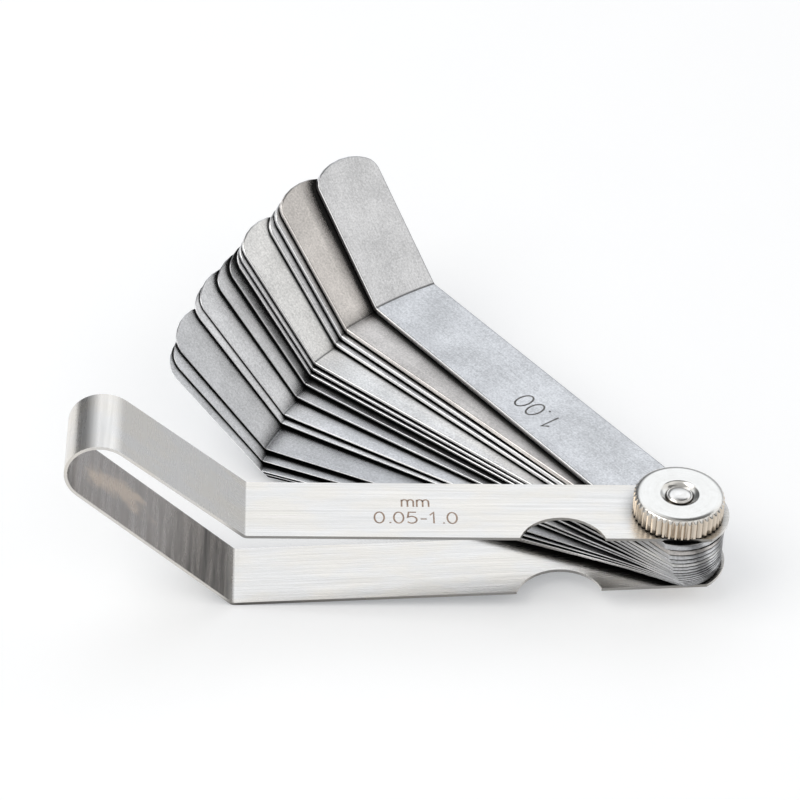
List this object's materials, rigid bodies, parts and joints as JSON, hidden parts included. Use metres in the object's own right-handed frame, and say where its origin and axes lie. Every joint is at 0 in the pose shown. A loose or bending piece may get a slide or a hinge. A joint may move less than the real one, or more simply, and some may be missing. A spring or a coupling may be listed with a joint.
{
  "type": "feeler gauge",
  "caption": "Fan of bent steel feeler blades pivoting on one screw in a folded spring-steel holder with thumb notches and a knurled clamping nut.",
  "frame": {"origin": "centre of the pivot screw head's underside, on the pivot axis", "axes": "+Z along the pivot screw towards the knurled nut, -X along the holder towards its folded end; the blades swing open towards +Y"},
  "size_m": [0.0983, 0.0789, 0.0302],
  "materials": {
    "holder_steel": "bright spring steel with fine lengthwise brushing and faint heat tint inside the fold",
    "blade_steel": "satin hardened spring steel, faintly speckled",
    "plated_steel": "bright nickel-plated, straight-knurled edge"
  },
  "bodies": {
    "holder": {"holder_strap": "holder_steel", "pivot_screw": "plated_steel"},
    "nut": {"knurled_nut": "plated_steel"},
    "blade_100": {"blade_100": "blade_steel"},
    "blade_090": {"blade_090": "blade_steel"},
    "blade_080": {"blade_080": "blade_steel"},
    "blade_070": {"blade_070": "blade_steel"},
    "blade_060": {"blade_060": "blade_steel"},
    "blade_055": {"blade_055": "blade_steel"},
    "blade_050": {"blade_050": "blade_steel"},
    "blade_045": {"blade_045": "blade_steel"},
    "blade_040": {"blade_040": "blade_steel"},
    "blade_035": {"blade_035": "blade_steel"},
    "blade_030": {"blade_030": "blade_steel"},
    "blade_025": {"blade_025": "blade_steel"},
    "blade_020": {"blade_020": "blade_steel"},
    "blade_015": {"blade_015": "blade_steel"},
    "blade_010": {"blade_010": "blade_steel"},
    "blade_005": {"blade_005": "blade_steel"}
  },
  "joints": [
    {"name": "blade_100_pivot", "type": "hinge", "parent": "holder", "child": "blade_100", "pos_m": [0, 0, 0.006], "axis": [0, 0, -1], "range_deg": [-54.1, 125.9]},
    {"name": "blade_090_pivot", "type": "hinge", "parent": "holder", "child": "blade_090", "pos_m": [0, 0, 0.006], "axis": [0, 0, -1], "range_deg": [-48.7, 131.3]},
    {"name": "blade_080_pivot", "type": "hinge", "parent": "holder", "child": "blade_080", "pos_m": [0, 0, 0.006], "axis": [0, 0, -1], "range_deg": [-47.9, 132.1]},
    {"name": "blade_070_pivot", "type": "hinge", "parent": "holder", "child": "blade_070", "pos_m": [0, 0, 0.006], "axis": [0, 0, -1], "range_deg": [-47, 133]},
    {"name": "blade_060_pivot", "type": "hinge", "parent": "holder", "child": "blade_060", "pos_m": [0, 0, 0.006], "axis": [0, 0, -1], "range_deg": [-42.7, 137.3]},
    {"name": "blade_055_pivot", "type": "hinge", "parent": "holder", "child": "blade_055", "pos_m": [0, 0, 0.006], "axis": [0, 0, -1], "range_deg": [-42.2, 137.8]},
    {"name": "blade_050_pivot", "type": "hinge", "parent": "holder", "child": "blade_050", "pos_m": [0, 0, 0.006], "axis": [0, 0, -1], "range_deg": [-41.7, 138.3]},
    {"name": "blade_045_pivot", "type": "hinge", "parent": "holder", "child": "blade_045", "pos_m": [0, 0, 0.006], "axis": [0, 0, -1], "range_deg": [-40.4, 139.6]},
    {"name": "blade_040_pivot", "type": "hinge", "parent": "holder", "child": "blade_040", "pos_m": [0, 0, 0.006], "axis": [0, 0, -1], "range_deg": [-38.2, 141.8]},
    {"name": "blade_035_pivot", "type": "hinge", "parent": "holder", "child": "blade_035", "pos_m": [0, 0, 0.006], "axis": [0, 0, -1], "range_deg": [-34.8, 145.2]},
    {"name": "blade_030_pivot", "type": "hinge", "parent": "holder", "child": "blade_030", "pos_m": [0, 0, 0.006], "axis": [0, 0, -1], "range_deg": [-33.7, 146.3]},
    {"name": "blade_025_pivot", "type": "hinge", "parent": "holder", "child": "blade_025", "pos_m": [0, 0, 0.006], "axis": [0, 0, -1], "range_deg": [-28.5, 151.5]},
    {"name": "blade_020_pivot", "type": "hinge", "parent": "holder", "child": "blade_020", "pos_m": [0, 0, 0.006], "axis": [0, 0, -1], "range_deg": [-26.7, 153.3]},
    {"name": "blade_015_pivot", "type": "hinge", "parent": "holder", "child": "blade_015", "pos_m": [0, 0, 0.006], "axis": [0, 0, -1], "range_deg": [-25.4, 154.6]},
    {"name": "blade_010_pivot", "type": "hinge", "parent": "holder", "child": "blade_010", "pos_m": [0, 0, 0.006], "axis": [0, 0, -1], "range_deg": [-25.6, 154.4]},
    {"name": "blade_005_pivot", "type": "hinge", "parent": "holder", "child": "blade_005", "pos_m": [0, 0, 0.006], "axis": [0, 0, -1], "range_deg": [-25.8, 154.2]},
    {"name": "nut_turn", "type": "hinge", "parent": "holder", "child": "nut", "pos_m": [0, 0, 0.0132], "axis": [0, 0, 1], "range_deg": [0, 360]}
  ]
}
